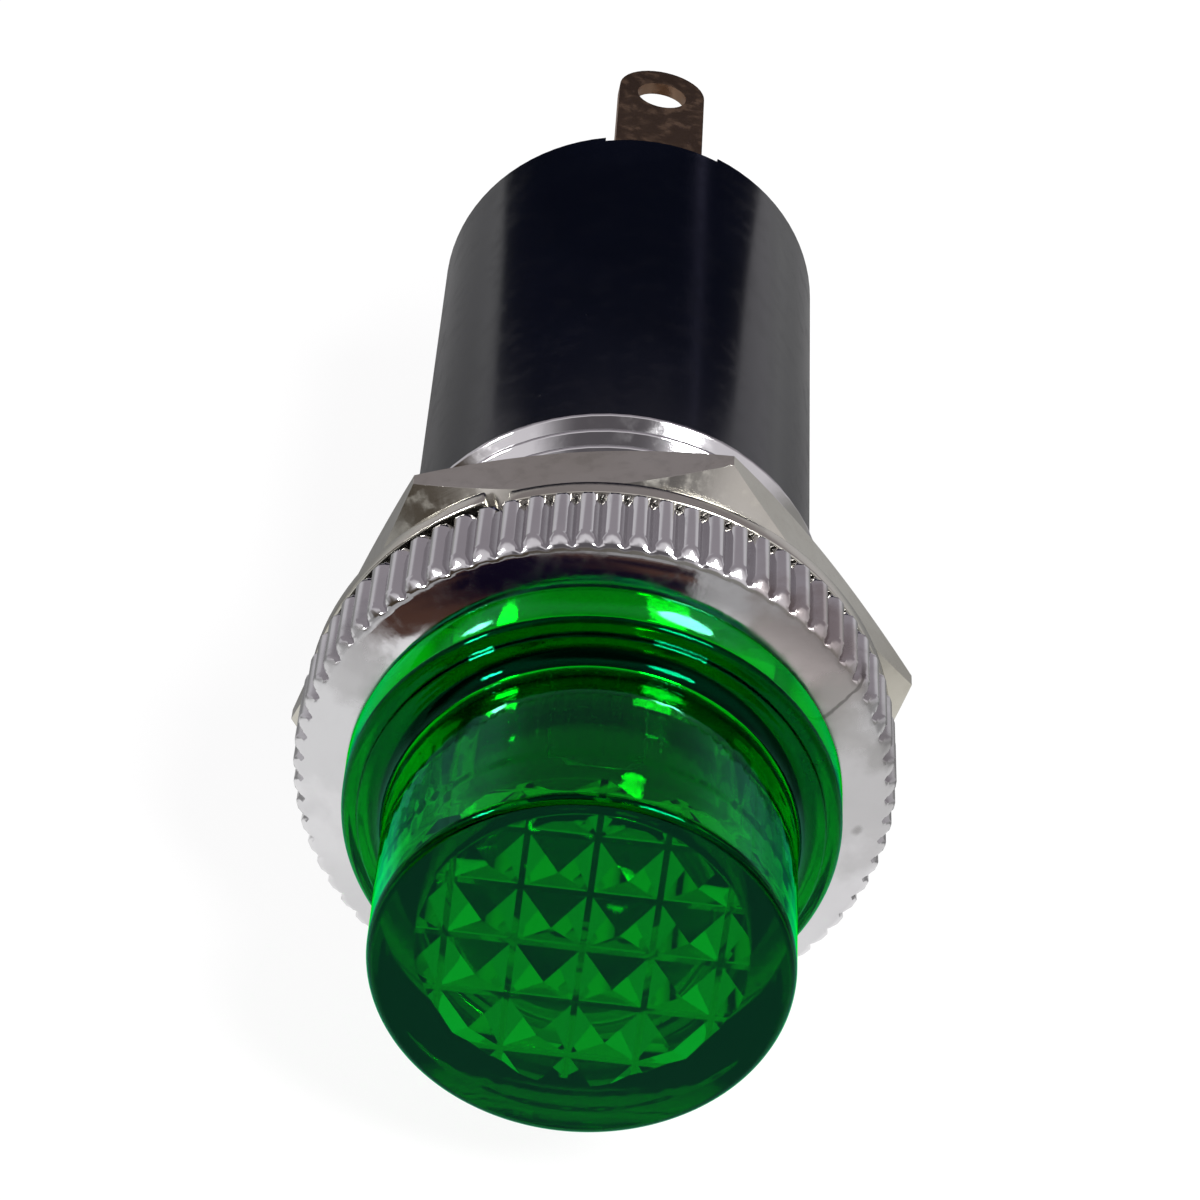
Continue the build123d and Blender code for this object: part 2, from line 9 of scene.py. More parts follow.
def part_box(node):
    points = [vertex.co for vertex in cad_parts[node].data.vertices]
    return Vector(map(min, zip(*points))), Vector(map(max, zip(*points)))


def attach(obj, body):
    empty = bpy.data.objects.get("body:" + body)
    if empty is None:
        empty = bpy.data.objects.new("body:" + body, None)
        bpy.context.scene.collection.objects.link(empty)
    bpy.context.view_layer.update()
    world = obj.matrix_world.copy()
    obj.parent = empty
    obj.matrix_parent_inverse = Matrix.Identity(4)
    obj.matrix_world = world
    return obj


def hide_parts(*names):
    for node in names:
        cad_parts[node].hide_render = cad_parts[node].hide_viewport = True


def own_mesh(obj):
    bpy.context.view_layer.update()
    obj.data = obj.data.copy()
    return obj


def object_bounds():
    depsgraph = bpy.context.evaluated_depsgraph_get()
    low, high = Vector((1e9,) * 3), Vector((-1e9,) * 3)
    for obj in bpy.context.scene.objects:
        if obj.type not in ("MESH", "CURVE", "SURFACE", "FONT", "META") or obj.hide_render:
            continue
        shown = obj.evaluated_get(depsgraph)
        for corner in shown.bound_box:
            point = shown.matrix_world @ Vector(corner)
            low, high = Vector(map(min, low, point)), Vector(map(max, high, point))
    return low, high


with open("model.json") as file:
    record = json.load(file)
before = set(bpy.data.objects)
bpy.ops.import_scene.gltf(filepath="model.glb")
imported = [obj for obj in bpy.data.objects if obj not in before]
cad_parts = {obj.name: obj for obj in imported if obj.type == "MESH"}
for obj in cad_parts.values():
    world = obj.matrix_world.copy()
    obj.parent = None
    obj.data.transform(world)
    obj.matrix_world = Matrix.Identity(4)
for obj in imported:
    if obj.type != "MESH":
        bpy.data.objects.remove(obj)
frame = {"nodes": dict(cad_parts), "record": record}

# pieces are drawn in millimetres with the lens facing -Y, and scaled to metres when they are finished
scene = bpy.context.scene
nodes = frame["nodes"]
mm = 0.001
fullTurn = 2 * pi
lightAxis = (0, 1, 0)
weld = 0.0005            # points nearer than this are one
coarseWeld = 0.002       # the same along the thread and after a boolean
onPlane = 0.0001         # points nearer than this to a cutting plane lie on it
roundSteps = 3           # segments of a round, where a corner or an edge asks for no other number
cadLow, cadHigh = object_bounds()


def boxOf(node):
    low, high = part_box(node)
    return low / mm, high / mm


# materials: small helpers, then the groups that several finishes share
def newMaterial(name):
    mat = bpy.data.materials.new(name)
    mat.use_nodes = True
    mat.node_tree.nodes.clear()
    return mat, mat.node_tree


def feed(tree, socket, value):
    if isinstance(value, bpy.types.NodeSocket):
        tree.links.new(value, socket)
    else:
        socket.default_value = value


def addNode(tree, kind, inputs=(), **settings):
    node = tree.nodes.new(kind)
    for key, value in settings.items():
        setattr(node, key, value)
    for key, value in dict(inputs).items():
        feed(tree, node.inputs[key], value)
    return node


def mathNode(tree, operation, first, second=0.0):
    node = tree.nodes.new("ShaderNodeMath")
    node.operation = operation
    for socket, value in zip(node.inputs, (first, second)):
        feed(tree, socket, value)
    return node.outputs[0]


def spread(tree, value, low, high, toLow=0.0, toHigh=1.0):
    node = addNode(tree, "ShaderNodeMapRange", {
        "Value": value, "From Min": low, "From Max": high, "To Min": toLow, "To Max": toHigh,
    }, interpolation_type="SMOOTHSTEP")
    return node.outputs["Result"]


# the mix node's colour sockets are numbers 6 and 7, and its colour result is number 2
def blendColours(tree, factor, first, second):
    node = addNode(tree, "ShaderNodeMix", {0: factor, 6: first, 7: second}, data_type="RGBA")
    return node.outputs[2]


def objectPlace(tree):
    return addNode(tree, "ShaderNodeTexCoord").outputs["Object"]


def finishSurface(tree, shader):
    return addNode(tree, "ShaderNodeOutputMaterial", {"Surface": shader.outputs["BSDF"]})


def newGroup(name, inputs, outputs):
    group = bpy.data.node_groups.new(name, "ShaderNodeTree")
    for label, default in inputs.items():
        socket = group.interface.new_socket(name=label, in_out="INPUT", socket_type="NodeSocketFloat")
        socket.default_value = default
    for label in outputs:
        group.interface.new_socket(name=label, in_out="OUTPUT", socket_type="NodeSocketFloat")
    return group, group.nodes.new("NodeGroupInput"), group.nodes.new("NodeGroupOutput")


def useGroup(tree, group, **values):
    node = tree.nodes.new("ShaderNodeGroup")
    node.node_tree = group
    for label, value in values.items():
        node.inputs[label.replace("_", " ")].default_value = value
    return node


filmLook = {
    "broadDetail": 5.0, "broadRoughness": 0.55, "broadEdge": (0.35, 0.7), "broadShare": 0.7,
    "fineDetail": 3.0, "fineRoughness": 0.6, "fineEdge": (0.4, 0.75), "fineShare": 0.3,
}


# cloudy film of handling: a broad mask, a fine mask and their height
def makeFilmGroup():
    group, groupIn, groupOut = newGroup(
        "handlingFilm", {"Scale": 180.0, "Fine Scale": 1400.0}, ("Broad", "Fine", "Height"))
    place = objectPlace(group)
    broad = addNode(group, "ShaderNodeTexNoise", {
        "Vector": place, "Detail": filmLook["broadDetail"], "Roughness": filmLook["broadRoughness"],
    })
    fine = addNode(group, "ShaderNodeTexNoise", {
        "Vector": place, "Detail": filmLook["fineDetail"], "Roughness": filmLook["fineRoughness"],
    })
    group.links.new(groupIn.outputs["Scale"], broad.inputs["Scale"])
    group.links.new(groupIn.outputs["Fine Scale"], fine.inputs["Scale"])
    broadMask = spread(group, broad.outputs["Fac"], *filmLook["broadEdge"])
    fineMask = spread(group, fine.outputs["Fac"], *filmLook["fineEdge"])
    height = mathNode(group, "ADD", mathNode(group, "MULTIPLY", broadMask, filmLook["broadShare"]),
                      mathNode(group, "MULTIPLY", fineMask, filmLook["fineShare"]))
    for label, value in (("Broad", broadMask), ("Fine", fineMask), ("Height", height)):
        group.links.new(value, groupOut.inputs[label])
    return group


latheLook = {"detail": 4.0, "roughness": 0.7, "waverScale": 260.0, "waverDetail": 2.0}


# lathe marks: rings about the light's axis, read from the distance to the axis and along it
def makeLatheGroup():
    group, groupIn, groupOut = newGroup("latheRings", {"Rings": 6000.0, "Waver": 0.2}, ("Height",))
    place = objectPlace(group)
    split = addNode(group, "ShaderNodeSeparateXYZ", {"Vector": place})
    across = mathNode(group, "SQRT", mathNode(
        group, "ADD", mathNode(group, "MULTIPLY", split.outputs["X"], split.outputs["X"]),
        mathNode(group, "MULTIPLY", split.outputs["Z"], split.outputs["Z"])))
    along = mathNode(group, "ADD", across, split.outputs["Y"])
    rings = addNode(group, "ShaderNodeTexNoise", {
        "W": along, "Detail": latheLook["detail"], "Roughness": latheLook["roughness"],
    }, noise_dimensions="1D")
    group.links.new(groupIn.outputs["Rings"], rings.inputs["Scale"])
    waver = addNode(group, "ShaderNodeTexNoise", {
        "Vector": place, "Scale": latheLook["waverScale"], "Detail": latheLook["waverDetail"],
    })
    height = mathNode(group, "ADD", rings.outputs["Fac"], mathNode(
        group, "MULTIPLY", waver.outputs["Fac"], groupIn.outputs["Waver"]))
    group.links.new(height, groupOut.inputs["Height"])
    return group


dustLook = {"patchScale": 330.0, "patchDetail": 4.0, "patchEdge": (0.48, 0.68)}


# dust: sparse specks of several sizes
def makeDustGroup():
    group, groupIn, groupOut = newGroup("dustSpecks", {"Scale": 500.0, "Reach": 0.12}, ("Mask",))
    place = objectPlace(group)
    cells = addNode(group, "ShaderNodeTexVoronoi", {"Vector": place, "Randomness": 1.0})
    group.links.new(groupIn.outputs["Scale"], cells.inputs["Scale"])
    patch = addNode(group, "ShaderNodeTexNoise", {
        "Vector": place, "Scale": dustLook["patchScale"], "Detail": dustLook["patchDetail"],
    })
    reach = mathNode(group, "MULTIPLY", groupIn.outputs["Reach"],
                     spread(group, patch.outputs["Fac"], *dustLook["patchEdge"]))
    speck = mathNode(group, "LESS_THAN", cells.outputs["Distance"], reach)
    group.links.new(speck, groupOut.inputs["Mask"])
    return group


filmGroup = makeFilmGroup()
latheGroup = makeLatheGroup()
dustGroup = makeDustGroup()


markLook = {
    "raggedScale": 620.0, "raggedDetail": 4.0, "warp": 1.6, "coreShare": 0.4, "roughness": 0.12,
    "scratchWarp": 0.25, "scratchEdge": (0.00010, 0.00003),
}


# a smudge or a patch of painted shade about one place, with a ragged edge, or a hair scratch where "across" is given
def markMask(tree, mark, place, ragged):
    warp = mathNode(tree, "MULTIPLY", mathNode(tree, "SUBTRACT", ragged, 0.5), markLook["warp"] * mark["reach"])
    away = addNode(tree, "ShaderNodeVectorMath", {0: place, 1: mark["at"]}, operation="SUBTRACT").outputs["Vector"]
    length = addNode(tree, "ShaderNodeVectorMath", {0: away}, operation="LENGTH").outputs["Value"]
    mask = spread(tree, mathNode(tree, "ADD", length, warp), mark["reach"], markLook["coreShare"] * mark["reach"])
    if "across" in mark:
        side = addNode(tree, "ShaderNodeVectorMath", {0: away, 1: mark["across"]},
                       operation="DOT_PRODUCT").outputs["Value"]
        side = mathNode(tree, "ABSOLUTE", mathNode(
            tree, "ADD", side, mathNode(tree, "MULTIPLY", warp, markLook["scratchWarp"])))
        mask = mathNode(tree, "MULTIPLY", mask, spread(tree, side, *markLook["scratchEdge"]))
    return mask


metalLook = {"fineFactor": 8, "dustFactor": 3, "dustRoughness": 0.4, "bumpStrength": 0.5}


def metalFinish(name, colour, tarnish, roughness, film=180.0, rings=6000.0, ringDepth=0.02, bumpDepth=0.00001,
                tarnishShare=0.5, dust=0.0, dustColour=(0.1, 0.08, 0.06, 1), marks=()):
    mat, tree = newMaterial(name)
    filmNode = useGroup(tree, filmGroup, Scale=film, Fine_Scale=film * metalLook["fineFactor"])
    lathe = useGroup(tree, latheGroup, Rings=rings)
    dustNode = useGroup(tree, dustGroup, Scale=film * metalLook["dustFactor"], Reach=dust)
    shade = mathNode(tree, "MULTIPLY", filmNode.outputs["Broad"], tarnishShare)
    base = blendColours(tree, shade, colour, tarnish)
    base = blendColours(tree, dustNode.outputs["Mask"], base, dustColour)
    rough = mathNode(tree, "ADD", spread(tree, filmNode.outputs["Fine"], 0, 1, *roughness),
                     mathNode(tree, "MULTIPLY", dustNode.outputs["Mask"], metalLook["dustRoughness"]))
    if marks:
        place = objectPlace(tree)
        ragged = addNode(tree, "ShaderNodeTexNoise", {
            "Vector": place, "Scale": markLook["raggedScale"], "Detail": markLook["raggedDetail"],
        }).outputs["Fac"]
    for mark in marks:
        mask = markMask(tree, mark, place, ragged)
        base = blendColours(tree, mathNode(tree, "MULTIPLY", mask, mark["share"]), base, mark["colour"])
        rough = mathNode(tree, "ADD", rough, mathNode(tree, "MULTIPLY", mask, markLook["roughness"]))
    height = mathNode(tree, "ADD", filmNode.outputs["Height"], mathNode(
        tree, "MULTIPLY", lathe.outputs["Height"], ringDepth))
    bump = addNode(tree, "ShaderNodeBump", {
        "Strength": metalLook["bumpStrength"], "Distance": bumpDepth, "Height": height,
    })
    shader = addNode(tree, "ShaderNodeBsdfPrincipled", {
        "Base Color": base, "Metallic": 1.0, "Roughness": rough, "Normal": bump.outputs["Normal"],
    })
    finishSurface(tree, shader)
    return mat


plasticLook = {
    "fineFactor": 9, "dustFactor": 4, "dustReach": 0.06, "dustRoughness": 0.25, "bumpStrength": 0.4,
    "grainScale": 900.0, "grainDetail": 4.0, "grainEdge": (0.3, 0.7), "grainShare": 0.7,
}


def plasticFinish(name, colour, second, roughness, film=150.0, bumpDepth=0.00001, grain=None, mottle=1.0,
                  ior=1.5):
    mat, tree = newMaterial(name)
    filmNode = useGroup(tree, filmGroup, Scale=film, Fine_Scale=film * plasticLook["fineFactor"])
    dustNode = useGroup(tree, dustGroup, Scale=film * plasticLook["dustFactor"], Reach=plasticLook["dustReach"])
    base = blendColours(tree, mathNode(tree, "MULTIPLY", filmNode.outputs["Broad"], mottle), colour, second)
    height = filmNode.outputs["Height"]
    if grain:
        turned = addNode(tree, "ShaderNodeMapping", {"Vector": objectPlace(tree), "Scale": grain})
        fibres = addNode(tree, "ShaderNodeTexNoise", {
            "Vector": turned.outputs["Vector"], "Scale": plasticLook["grainScale"],
            "Detail": plasticLook["grainDetail"],
        })
        share = spread(tree, fibres.outputs["Fac"], *plasticLook["grainEdge"], 0.0, plasticLook["grainShare"])
        base = blendColours(tree, share, base, second)
        height = mathNode(tree, "ADD", height, fibres.outputs["Fac"])
    rough = mathNode(tree, "ADD", spread(tree, filmNode.outputs["Fine"], 0, 1, *roughness),
                     mathNode(tree, "MULTIPLY", dustNode.outputs["Mask"], plasticLook["dustRoughness"]))
    bump = addNode(tree, "ShaderNodeBump", {
        "Strength": plasticLook["bumpStrength"], "Distance": bumpDepth, "Height": height,
    })
    shader = addNode(tree, "ShaderNodeBsdfPrincipled", {
        "Base Color": base, "Roughness": rough, "IOR": ior, "Normal": bump.outputs["Normal"],
    })
    finishSurface(tree, shader)
    return mat


clearLook = {"fineFactor": 7, "bumpStrength": 0.25, "fluteDetail": 1.0, "fluteFade": 0.0006, "faceShadeFade": 0.0003}


# flutes are soft streaks down the sides, face is a painted shade tint on the front, and a veil tints what is mirrored
def clearFinish(name, tint, ior, roughness, absorb=None, density=0.0, film=160.0, bumpDepth=0.000002,
                gleam=(1, 1, 1, 1), flutes=None, face=None, veil=None):
    mat, tree = newMaterial(name)
    filmNode = useGroup(tree, filmGroup, Scale=film, Fine_Scale=film * clearLook["fineFactor"])
    rough = spread(tree, filmNode.outputs["Fine"], 0, 1, *roughness)
    bump = addNode(tree, "ShaderNodeBump", {
        "Strength": clearLook["bumpStrength"], "Distance": bumpDepth, "Height": filmNode.outputs["Height"],
    })
    if flutes:
        split = addNode(tree, "ShaderNodeSeparateXYZ", {"Vector": objectPlace(tree)})
        around = mathNode(tree, "ARCTAN2", split.outputs["X"], split.outputs["Z"])
        streaks = addNode(tree, "ShaderNodeTexNoise", {
            "W": around, "Scale": flutes["scale"], "Detail": clearLook["fluteDetail"],
        }, noise_dimensions="1D")
        start, end, fade = flutes["start"], flutes["end"], clearLook["fluteFade"]
        sides = mathNode(tree, "MULTIPLY", spread(tree, split.outputs["Y"], start, start + fade),
                         spread(tree, split.outputs["Y"], end, end - fade))
        bump = addNode(tree, "ShaderNodeBump", {
            "Strength": 1.0, "Distance": flutes["depth"], "Normal": bump.outputs["Normal"],
            "Height": mathNode(tree, "MULTIPLY", streaks.outputs["Fac"], sides),
        })
    # painted shade: a darker tint over the front face darkens the lens's front
    if face:
        split = addNode(tree, "ShaderNodeSeparateXYZ", {"Vector": objectPlace(tree)})
        share = spread(tree, split.outputs["Y"], face["end"], face["end"] - clearLook["faceShadeFade"])
        tint = blendColours(tree, share, tint, face["tint"])
    shader = addNode(tree, "ShaderNodeBsdfPrincipled", {
        "Base Color": tint, "Roughness": rough, "IOR": ior, "Transmission Weight": 1.0,
        "Specular Tint": gleam, "Normal": bump.outputs["Normal"],
    })
    if veil:      # a coat that only tints what the surface mirrors
        shader.inputs["Coat Weight"].default_value = 1.0
        shader.inputs["Coat IOR"].default_value = 1.0
        shader.inputs["Coat Tint"].default_value = veil
    out = finishSurface(tree, shader)
    if absorb:
        volume = addNode(tree, "ShaderNodeVolumeAbsorption", {"Color": absorb, "Density": density})
        tree.links.new(volume.outputs["Volume"], out.inputs["Volume"])
    return mat


# wear of the head's face, as in the photo: smudges, one dot and one hair scratch; the last two are painted shade
chromeWearAndShade = (
    {"at": (0.0058, -0.0031, 0.0072), "reach": 0.0034, "share": 0.6, "colour": (0.33, 0.26, 0.24, 1)},
    {"at": (0.0070, -0.0031, 0.0048), "reach": 0.0022, "share": 0.35, "colour": (0.30, 0.27, 0.25, 1)},
    {"at": (0.0095, -0.0030, 0.0036), "reach": 0.0009, "share": 0.5, "colour": (0.22, 0.21, 0.20, 1)},
    {"at": (0.0091, -0.0030, 0.0004), "reach": 0.00035, "share": 0.8, "colour": (0.12, 0.11, 0.11, 1)},
    {"at": (0.0074, -0.0031, 0.0056), "reach": 0.0020, "share": 0.9, "colour": (0.05, 0.035, 0.03, 1),
     "across": (0.80, 0, -0.60)},
    {"at": (-0.0088, -0.0030, 0.0034), "reach": 0.0018, "share": 0.3, "colour": (0.34, 0.33, 0.33, 1)},
    # painted shade: two broad patches darken the face's right and left sides
    {"at": (0.0092, -0.0030, 0.0026), "reach": 0.0052, "share": 0.5, "colour": (0.36, 0.355, 0.35, 1)},
    {"at": (-0.0092, -0.0030, 0.0010), "reach": 0.0050, "share": 0.35, "colour": (0.42, 0.42, 0.425, 1)},
)
finishes = {
    "chrome_plate": metalFinish(
        "chromePlate", (0.66, 0.655, 0.665, 1), (0.50, 0.485, 0.50, 1), (0.06, 0.14), film=140.0,
        ringDepth=0.05, bumpDepth=0.000006, dust=0.06, marks=chromeWearAndShade),
    "nickel_plate": metalFinish(
        "nickelPlate", (0.54, 0.525, 0.475, 1), (0.38, 0.355, 0.29, 1), (0.15, 0.26), film=200.0,
        ringDepth=0.4, bumpDepth=0.000004, tarnishShare=0.55, dust=0.05),
    "brass": metalFinish(
        "drawnBrass", (0.78, 0.58, 0.27, 1), (0.50, 0.33, 0.14, 1), (0.14, 0.30), film=260.0, ringDepth=0.4),
    "lug_bronze": metalFinish(
        "lugBronze", (0.40, 0.265, 0.18, 1), (0.27, 0.175, 0.12, 1), (0.36, 0.48), film=220.0,
        ringDepth=0.0, bumpDepth=0.000003, tarnishShare=0.7, dust=0.03),
    "spring_wire": metalFinish(
        "springWire", (0.55, 0.55, 0.56, 1), (0.38, 0.37, 0.36, 1), (0.18, 0.3), film=600.0),
    "filament_wire": metalFinish(
        "filamentWire", (0.30, 0.30, 0.32, 1), (0.18, 0.18, 0.2, 1), (0.3, 0.45), film=900.0),
    "solder": metalFinish(
        "softSolder", (0.66, 0.66, 0.65, 1), (0.42, 0.42, 0.42, 1), (0.25, 0.4), film=500.0),
    "black_phenolic": plasticFinish(
        "blackPhenolic", (0.0008, 0.0012, 0.0030, 1), (0.0015, 0.002, 0.0045, 1), (0.18, 0.24), film=120.0,
        bumpDepth=0.000002, ior=1.36),
    "brown_laminate": plasticFinish(
        "brownLaminate", (0.22, 0.12, 0.06, 1), (0.13, 0.065, 0.03, 1), (0.42, 0.6), film=240.0,
        grain=(5.0, 9.0, 1.0), mottle=0.25),
    "black_glass": plasticFinish(
        "blackGlass", (0.012, 0.012, 0.016, 1), (0.03, 0.028, 0.034, 1), (0.08, 0.16), film=400.0),
    "lamp_glass": clearFinish("lampGlass", (0.96, 0.98, 0.97, 1), 1.5, (0.0, 0.02)),
    # the face tint is painted shade that darkens the lens's front
    "green_lens": clearFinish(
        "greenLens", (0.008, 0.59, 0.11, 1), 1.49, (0.02, 0.06), absorb=(0.0, 0.86, 0.10, 1), density=450.0,
        gleam=(0.0, 0.5, 0.22, 1), flutes={"scale": 6.0, "start": -0.0107, "end": -0.0056, "depth": 0.00004},
        face={"end": -0.0124, "tint": (0.006, 0.20, 0.045, 1)}, veil=(0.5, 1.0, 0.85, 1)),
}
print("finishes made:", len(finishes))


# meshes: outlines are bmesh vertices in the XY plane, X the distance from the axis; a corner may go on with the
# radius of its round and the number of its segments
def drawOutline(bm, corners, closed=True):
    points = [bm.verts.new((corner[0], corner[1], 0)) for corner in corners]
    pairs = list(zip(points, points[1:] + points[:1] if closed else points[1:]))
    for first, second in pairs:
        bm.edges.new((first, second))
    rounds = {}
    for point, corner in zip(points, corners):
        if len(corner) > 2:
            rounds.setdefault(corner[2:], []).append(point)
    for key, members in rounds.items():
        steps = key[1] if len(key) > 1 else roundSteps
        bmesh.ops.bevel(bm, geom=members, offset=key[0], offset_type="OFFSET", affect="VERTICES", segments=steps,
                        profile=0.5, material=-1)


def turnOutline(bm, steps):
    bmesh.ops.spin(bm, geom=bm.verts[:] + bm.edges[:], cent=(0, 0, 0), axis=lightAxis, dvec=(0, 0, 0),
                   angle=fullTurn, steps=steps, use_merge=True)
    bmesh.ops.remove_doubles(bm, verts=bm.verts, dist=weld)
    bmesh.ops.recalc_face_normals(bm, faces=bm.faces)


def roundEdges(bm, edges, radius):
    bmesh.ops.bevel(bm, geom=edges, offset=radius, offset_type="OFFSET", affect="EDGES", segments=roundSteps,
                    profile=0.5, material=-1, clamp_overlap=True)


def objectOf(bm, name):
    mesh = bpy.data.meshes.new(name)
    bm.to_mesh(mesh)
    bm.free()
    piece = bpy.data.objects.new(name, mesh)
    scene.collection.objects.link(piece)
    return piece


def finishPiece(bm, name, finish, body, stands, sharp=35):
    bmesh.ops.scale(bm, vec=(mm, mm, mm), verts=bm.verts)
    piece = objectOf(bm, name)
    for face in piece.data.polygons:
        face.use_smooth = True
    piece.data.set_sharp_from_angle(angle=radians(sharp))
    piece.data.materials.append(finishes[finish])
    evened = piece.modifiers.new("evenShading", "WEIGHTED_NORMAL")      # flats stay flat beside small rounds
    evened.keep_sharp = True
    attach(piece, body)
    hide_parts(*stands)
    return piece


# joins or cuts helper solids with an exact boolean, and hands back a bmesh
def combine(first, second, operation):
    tool = first.modifiers.new("combine", "BOOLEAN")
    tool.object, tool.operation, tool.solver = second, operation, "EXACT"
    depsgraph = bpy.context.evaluated_depsgraph_get()
    result = bpy.data.meshes.new_from_object(first.evaluated_get(depsgraph))
    bm = bmesh.new()
    bm.from_mesh(result)
    bpy.data.objects.remove(first)
    bpy.data.objects.remove(second)
    bpy.data.meshes.remove(result)
    return bm


def sharpEdges(bm, angle):
    return [edge for edge in bm.edges if edge.is_manifold and edge.calc_face_angle(0) > radians(angle)]


def openEdges(bm):
    return [edge for edge in bm.edges if edge.is_boundary]


def axisDistance(vert):
    return hypot(vert.co.x, vert.co.z)


def setAxisDistance(vert, distance):
    grown = distance / axisDistance(vert)
    vert.co.x *= grown
    vert.co.z *= grown


bezelLow, bezelHigh = boxOf("bezel")
head = {
    "rim": bezelHigh.x + 0.003,      # over the knurl's crests
    "width": 2.95,
    "rimChamfer": 0.35,
    "rimRound": 0.16,
    "seatBack": -bezelLow.y,         # where the lens flange sits
    "seatRadius": 8.55,
    "seatRound": 0.04,
    "dome": 0.06,
    "domeRound": 0.68,
    "domeSteps": 8,
    "boreRadius": 6.5,
    "boreRound": 0.05,
    "faceRound": 0.1,
    "teeth": 72,
    "stepsPerTooth": 6,
    "grooveDepth": 0.42,
    "grooveShares": (1.0, 0.42, 0.07, 0.0, 0.07, 0.42),
    "backEdge": 0.18,
    "backRounds": (0.1, 0.05),
    "backPlane": 0.001,              # the knurl's grooves end here
}
thread = {
    "major": 7.9, "minor": 7.33, "pitch": 1.058, "crest": 0.07, "root": 0.4, "crestRound": 0.05, "rootRound": 0.06,
    "formSteps": 2, "start": 0.3, "end": bezelHigh.y, "leadTurns": 1.75, "stepsPerTurn": 72, "endChamfer": 0.45,
    "sleeveGap": 0.03, "sleeveShort": 0.002, "rimReach": 0.01,
}
sleeveRadius = thread["minor"] - thread["sleeveGap"]


def buildHead():
    rim, width, cut, seat = head["rim"], head["width"], head["rimChamfer"], head["seatBack"]
    faceEdge = rim - cut
    sleeveEnd = thread["end"] - thread["sleeveShort"]
    bm = bmesh.new()
    drawOutline(bm, [
        (head["boreRadius"], -seat, head["boreRound"]),
        (head["seatRadius"], -seat, head["seatRound"]),
        ((head["seatRadius"] + faceEdge) / 2, (-seat - width) / 2 - head["dome"], head["domeRound"], head["domeSteps"]),
        (faceEdge, -width, head["faceRound"]),
        (rim, cut - width, head["rimRound"]),
        (rim, -head["backEdge"], head["backRounds"][0]),
        (rim - head["backEdge"], 0, head["backRounds"][1]),
        (sleeveRadius, 0),
        (sleeveRadius, sleeveEnd),
        (head["boreRadius"], sleeveEnd),
    ])
    turnOutline(bm, head["teeth"] * head["stepsPerTooth"])
    stepAngle = fullTurn / (head["teeth"] * head["stepsPerTooth"])
    deepest = rim - head["grooveDepth"]
    for vert in bm.verts:
        radius = axisDistance(vert)
        if radius <= deepest or vert.co.y > head["backPlane"]:
            continue
        step = round(Vector((vert.co.x, vert.co.z)).angle_signed(Vector((1, 0))) / stepAngle)
        share = head["grooveShares"][step % head["stepsPerTooth"]]
        setAxisDistance(vert, min(radius, rim - share * head["grooveDepth"]))
    bmesh.ops.remove_doubles(bm, verts=bm.verts, dist=weld)
    return bm


def wholeTurns(length, pitch):
    return int(-(-length // pitch))


def threadShell(bm):
    pitch, minor, major = thread["pitch"], thread["minor"], thread["major"]
    crest, root, steps = thread["crest"], thread["root"], thread["formSteps"]
    first = thread["start"] - thread["leadTurns"] * pitch      # puts the root where the solid has it
    turns = wholeTurns(thread["end"] + pitch - first, pitch)
    drawOutline(bm, [
        (minor, first - pitch / 2), (minor, first - root, thread["rootRound"], steps),
        (major, first - crest, thread["crestRound"], steps), (major, first + crest, thread["crestRound"], steps),
        (minor, first + root, thread["rootRound"], steps), (minor, first + pitch / 2),
    ], closed=False)
    bmesh.ops.spin(bm, geom=bm.verts[:] + bm.edges[:], cent=(0, 0, 0), axis=lightAxis,
                   dvec=(0, pitch / thread["stepsPerTurn"], 0), angle=fullTurn * turns,
                   steps=turns * thread["stepsPerTurn"])
    bmesh.ops.remove_doubles(bm, verts=bm.verts, dist=coarseWeld)
    chamferStart = thread["end"] - thread["endChamfer"]
    for vert in bm.verts:
        limit = max(minor, major - max(0, vert.co.y - chamferStart))
        if axisDistance(vert) > limit:
            setAxisDistance(vert, limit)


def closeThread(bm):
    for height, facing in ((thread["start"], -1), (thread["end"], 1)):
        bmesh.ops.bisect_plane(bm, geom=bm.verts[:] + bm.edges[:] + bm.faces[:], dist=onPlane,
                               plane_co=(0, height, 0), plane_no=(0, facing, 0), clear_outer=True)
    for height in (thread["start"], thread["end"]):
        rim = [edge for edge in openEdges(bm)
               if all(abs(vert.co.y - height) < thread["rimReach"] for vert in edge.verts)]
        grown = bmesh.ops.extrude_edge_only(bm, edges=rim)["geom"]
        for vert in [item for item in grown if isinstance(item, bmesh.types.BMVert)]:
            setAxisDistance(vert, sleeveRadius)
    bmesh.ops.bridge_loops(bm, edges=openEdges(bm))
    bmesh.ops.recalc_face_normals(bm, faces=bm.faces)


def buildBezel():
    sleeve = bmesh.new()
    threadShell(sleeve)
    closeThread(sleeve)
    part = bpy.data.meshes.new("threadSleeve")
    sleeve.to_mesh(part)
    sleeve.free()
    bm = buildHead()
    bm.from_mesh(part)
    bpy.data.meshes.remove(part)
    return finishPiece(bm, "bezelTurned", "chrome_plate", "housing", ("bezel",))


bezelPiece = buildBezel()
print("bezel turned:", len(bezelPiece.data.polygons), "faces")


nutLow, nutHigh = boxOf("hex_nut")
nut = {
    "front": nutLow.y, "rear": nutHigh.y, "flats": 19.0, "sides": 6, "sideTurn": 60, "turn": 16.4,
    "chamferShare": 0.475, "chamferAngle": 30, "bore": 7.95, "boreChamfer": 0.3, "boreRound": 0.05, "faceRound": 0.12,
    "edge": 0.07, "steps": 120, "flatCorners": 8,
}


